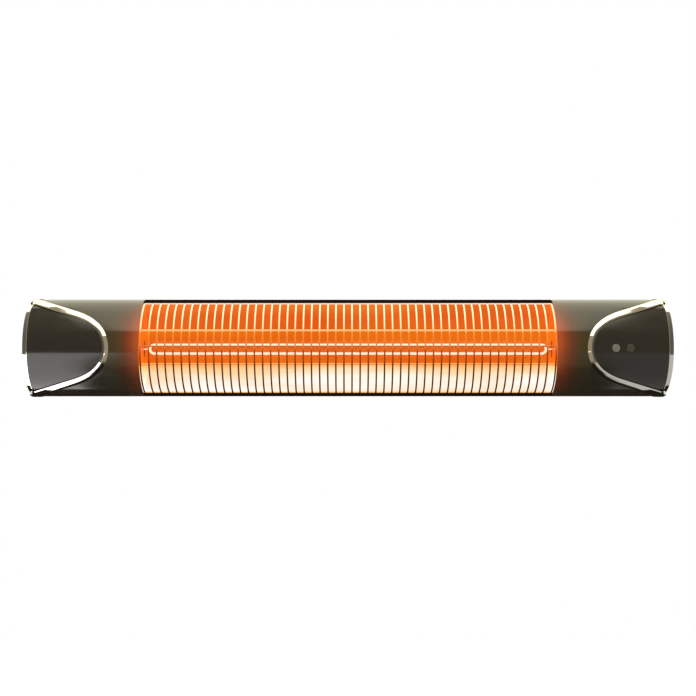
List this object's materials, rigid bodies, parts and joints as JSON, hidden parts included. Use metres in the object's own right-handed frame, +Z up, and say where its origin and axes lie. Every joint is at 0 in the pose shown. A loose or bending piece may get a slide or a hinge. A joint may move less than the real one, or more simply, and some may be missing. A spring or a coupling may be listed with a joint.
{
  "type": "wall-mounted infrared strip heater",
  "caption": "Wall-mounted infrared strip heater: half-round body, wire guard over a carbon lamp, black end caps in bright trim, tilting wall bracket.",
  "frame": {"origin": "centre of the wall bracket's back face, on the wall", "axes": "+X along the heater, to the right for a person facing it; +Y into the wall; +Z up"},
  "size_m": [0.8065, 0.1493, 0.1246],
  "materials": {
    "bracket_paint": "black powder coat, fine texture",
    "zinc_steel": "zinc plated fasteners",
    "nylon": "natural nylon",
    "tray_paint": "black powder coat",
    "shell_finish": "gloss dark metallic lacquer",
    "strip_finish": "black lacquer",
    "trim_chrome": "polished bright trim",
    "insert_gloss": "high gloss black",
    "guard_wire": "bright nickel-plated wire",
    "reflector_metal": "polished reflector sheet",
    "shield_steel": "bare sheet",
    "quartz": "clear quartz",
    "carbon_glow": "glowing carbon cord",
    "steatite": "unglazed white ceramic",
    "spring_steel": "spring steel strip",
    "lens_clear": "frosted grey lens",
    "lens_dark": "infrared-clear dark lens",
    "board_green": "solder resist",
    "part_black": "moulded black",
    "part_blue": "moulded blue",
    "led_red": "red epoxy",
    "terminal_white": "moulded white",
    "lead_sleeve": "silicone sleeve",
    "gland_plastic": "moulded black nylon",
    "seal_rubber": "seal rubber",
    "knob_plastic": "moulded black"
  },
  "bodies": {
    "bracket": {"wall_bracket": "bracket_paint", "pivot_bolts": "zinc_steel", "pivot_nuts": "zinc_steel", "pivot_washers": "nylon"},
    "heater": {"left_hinge_lug": "bracket_paint", "right_hinge_lug": "bracket_paint", "lug_screws": "zinc_steel", "lug_nuts": "zinc_steel", "lock_studs": "zinc_steel", "lock_washers": "zinc_steel", "rear_tray": "tray_paint", "left_front_shell": "shell_finish", "right_front_shell": "shell_finish", "top_window_strip": "strip_finish", "bottom_window_strip": "strip_finish", "case_screws": "zinc_steel", "insert_screws": "zinc_steel", "left_trim": "trim_chrome", "right_trim": "trim_chrome", "left_end_insert": "insert_gloss", "right_end_insert": "insert_gloss", "indicator_lens": "lens_clear", "receiver_window": "lens_dark", "control_board": "board_green", "board_screws": "zinc_steel", "indicator_led": "led_red", "infrared_receiver": "part_black", "power_relay": "part_blue", "supply_capacitor": "part_black", "terminal_block": "terminal_white", "gland_body": "gland_plastic", "gland_locknut": "gland_plastic", "gland_seal": "seal_rubber", "gland_nut": "gland_plastic", "switch_frame": "part_black", "reflector": "reflector_metal", "left_reflector_end": "reflector_metal", "right_reflector_end": "reflector_metal", "guard_hoops": "guard_wire", "guard_rails": "guard_wire", "lamp_tube": "quartz", "lamp_filament": "carbon_glow", "left_lamp_base": "steatite", "right_lamp_base": "steatite", "left_lamp_clip": "spring_steel", "right_lamp_clip": "spring_steel", "left_heat_shield": "shield_steel", "right_heat_shield": "shield_steel", "thermal_cutout": "part_black", "left_lamp_lead": "lead_sleeve", "right_lamp_lead": "lead_sleeve"},
    "left_knob": {"left_lock_knob": "knob_plastic"},
    "right_knob": {"right_lock_knob": "knob_plastic"},
    "rocker": {"switch_rocker": "part_black"}
  },
  "joints": [
    {"name": "tilt", "type": "hinge", "parent": "bracket", "child": "heater", "pos_m": [0, -0.045, 0], "axis": [1, 0, 0], "range_deg": [-15, 45]},
    {"name": "left_knob_turn", "type": "hinge", "parent": "heater", "child": "left_knob", "pos_m": [-0.09, -0.023, 0], "axis": [-1, 0, 0], "range_deg": [0, 360]},
    {"name": "right_knob_turn", "type": "hinge", "parent": "heater", "child": "right_knob", "pos_m": [0.09, -0.023, 0], "axis": [1, 0, 0], "range_deg": [0, 360]},
    {"name": "rocker_turn", "type": "hinge", "parent": "heater", "child": "rocker", "pos_m": [0.401, -0.106, 0], "axis": [0, 1, 0], "range_deg": [0, 20]}
  ]
}
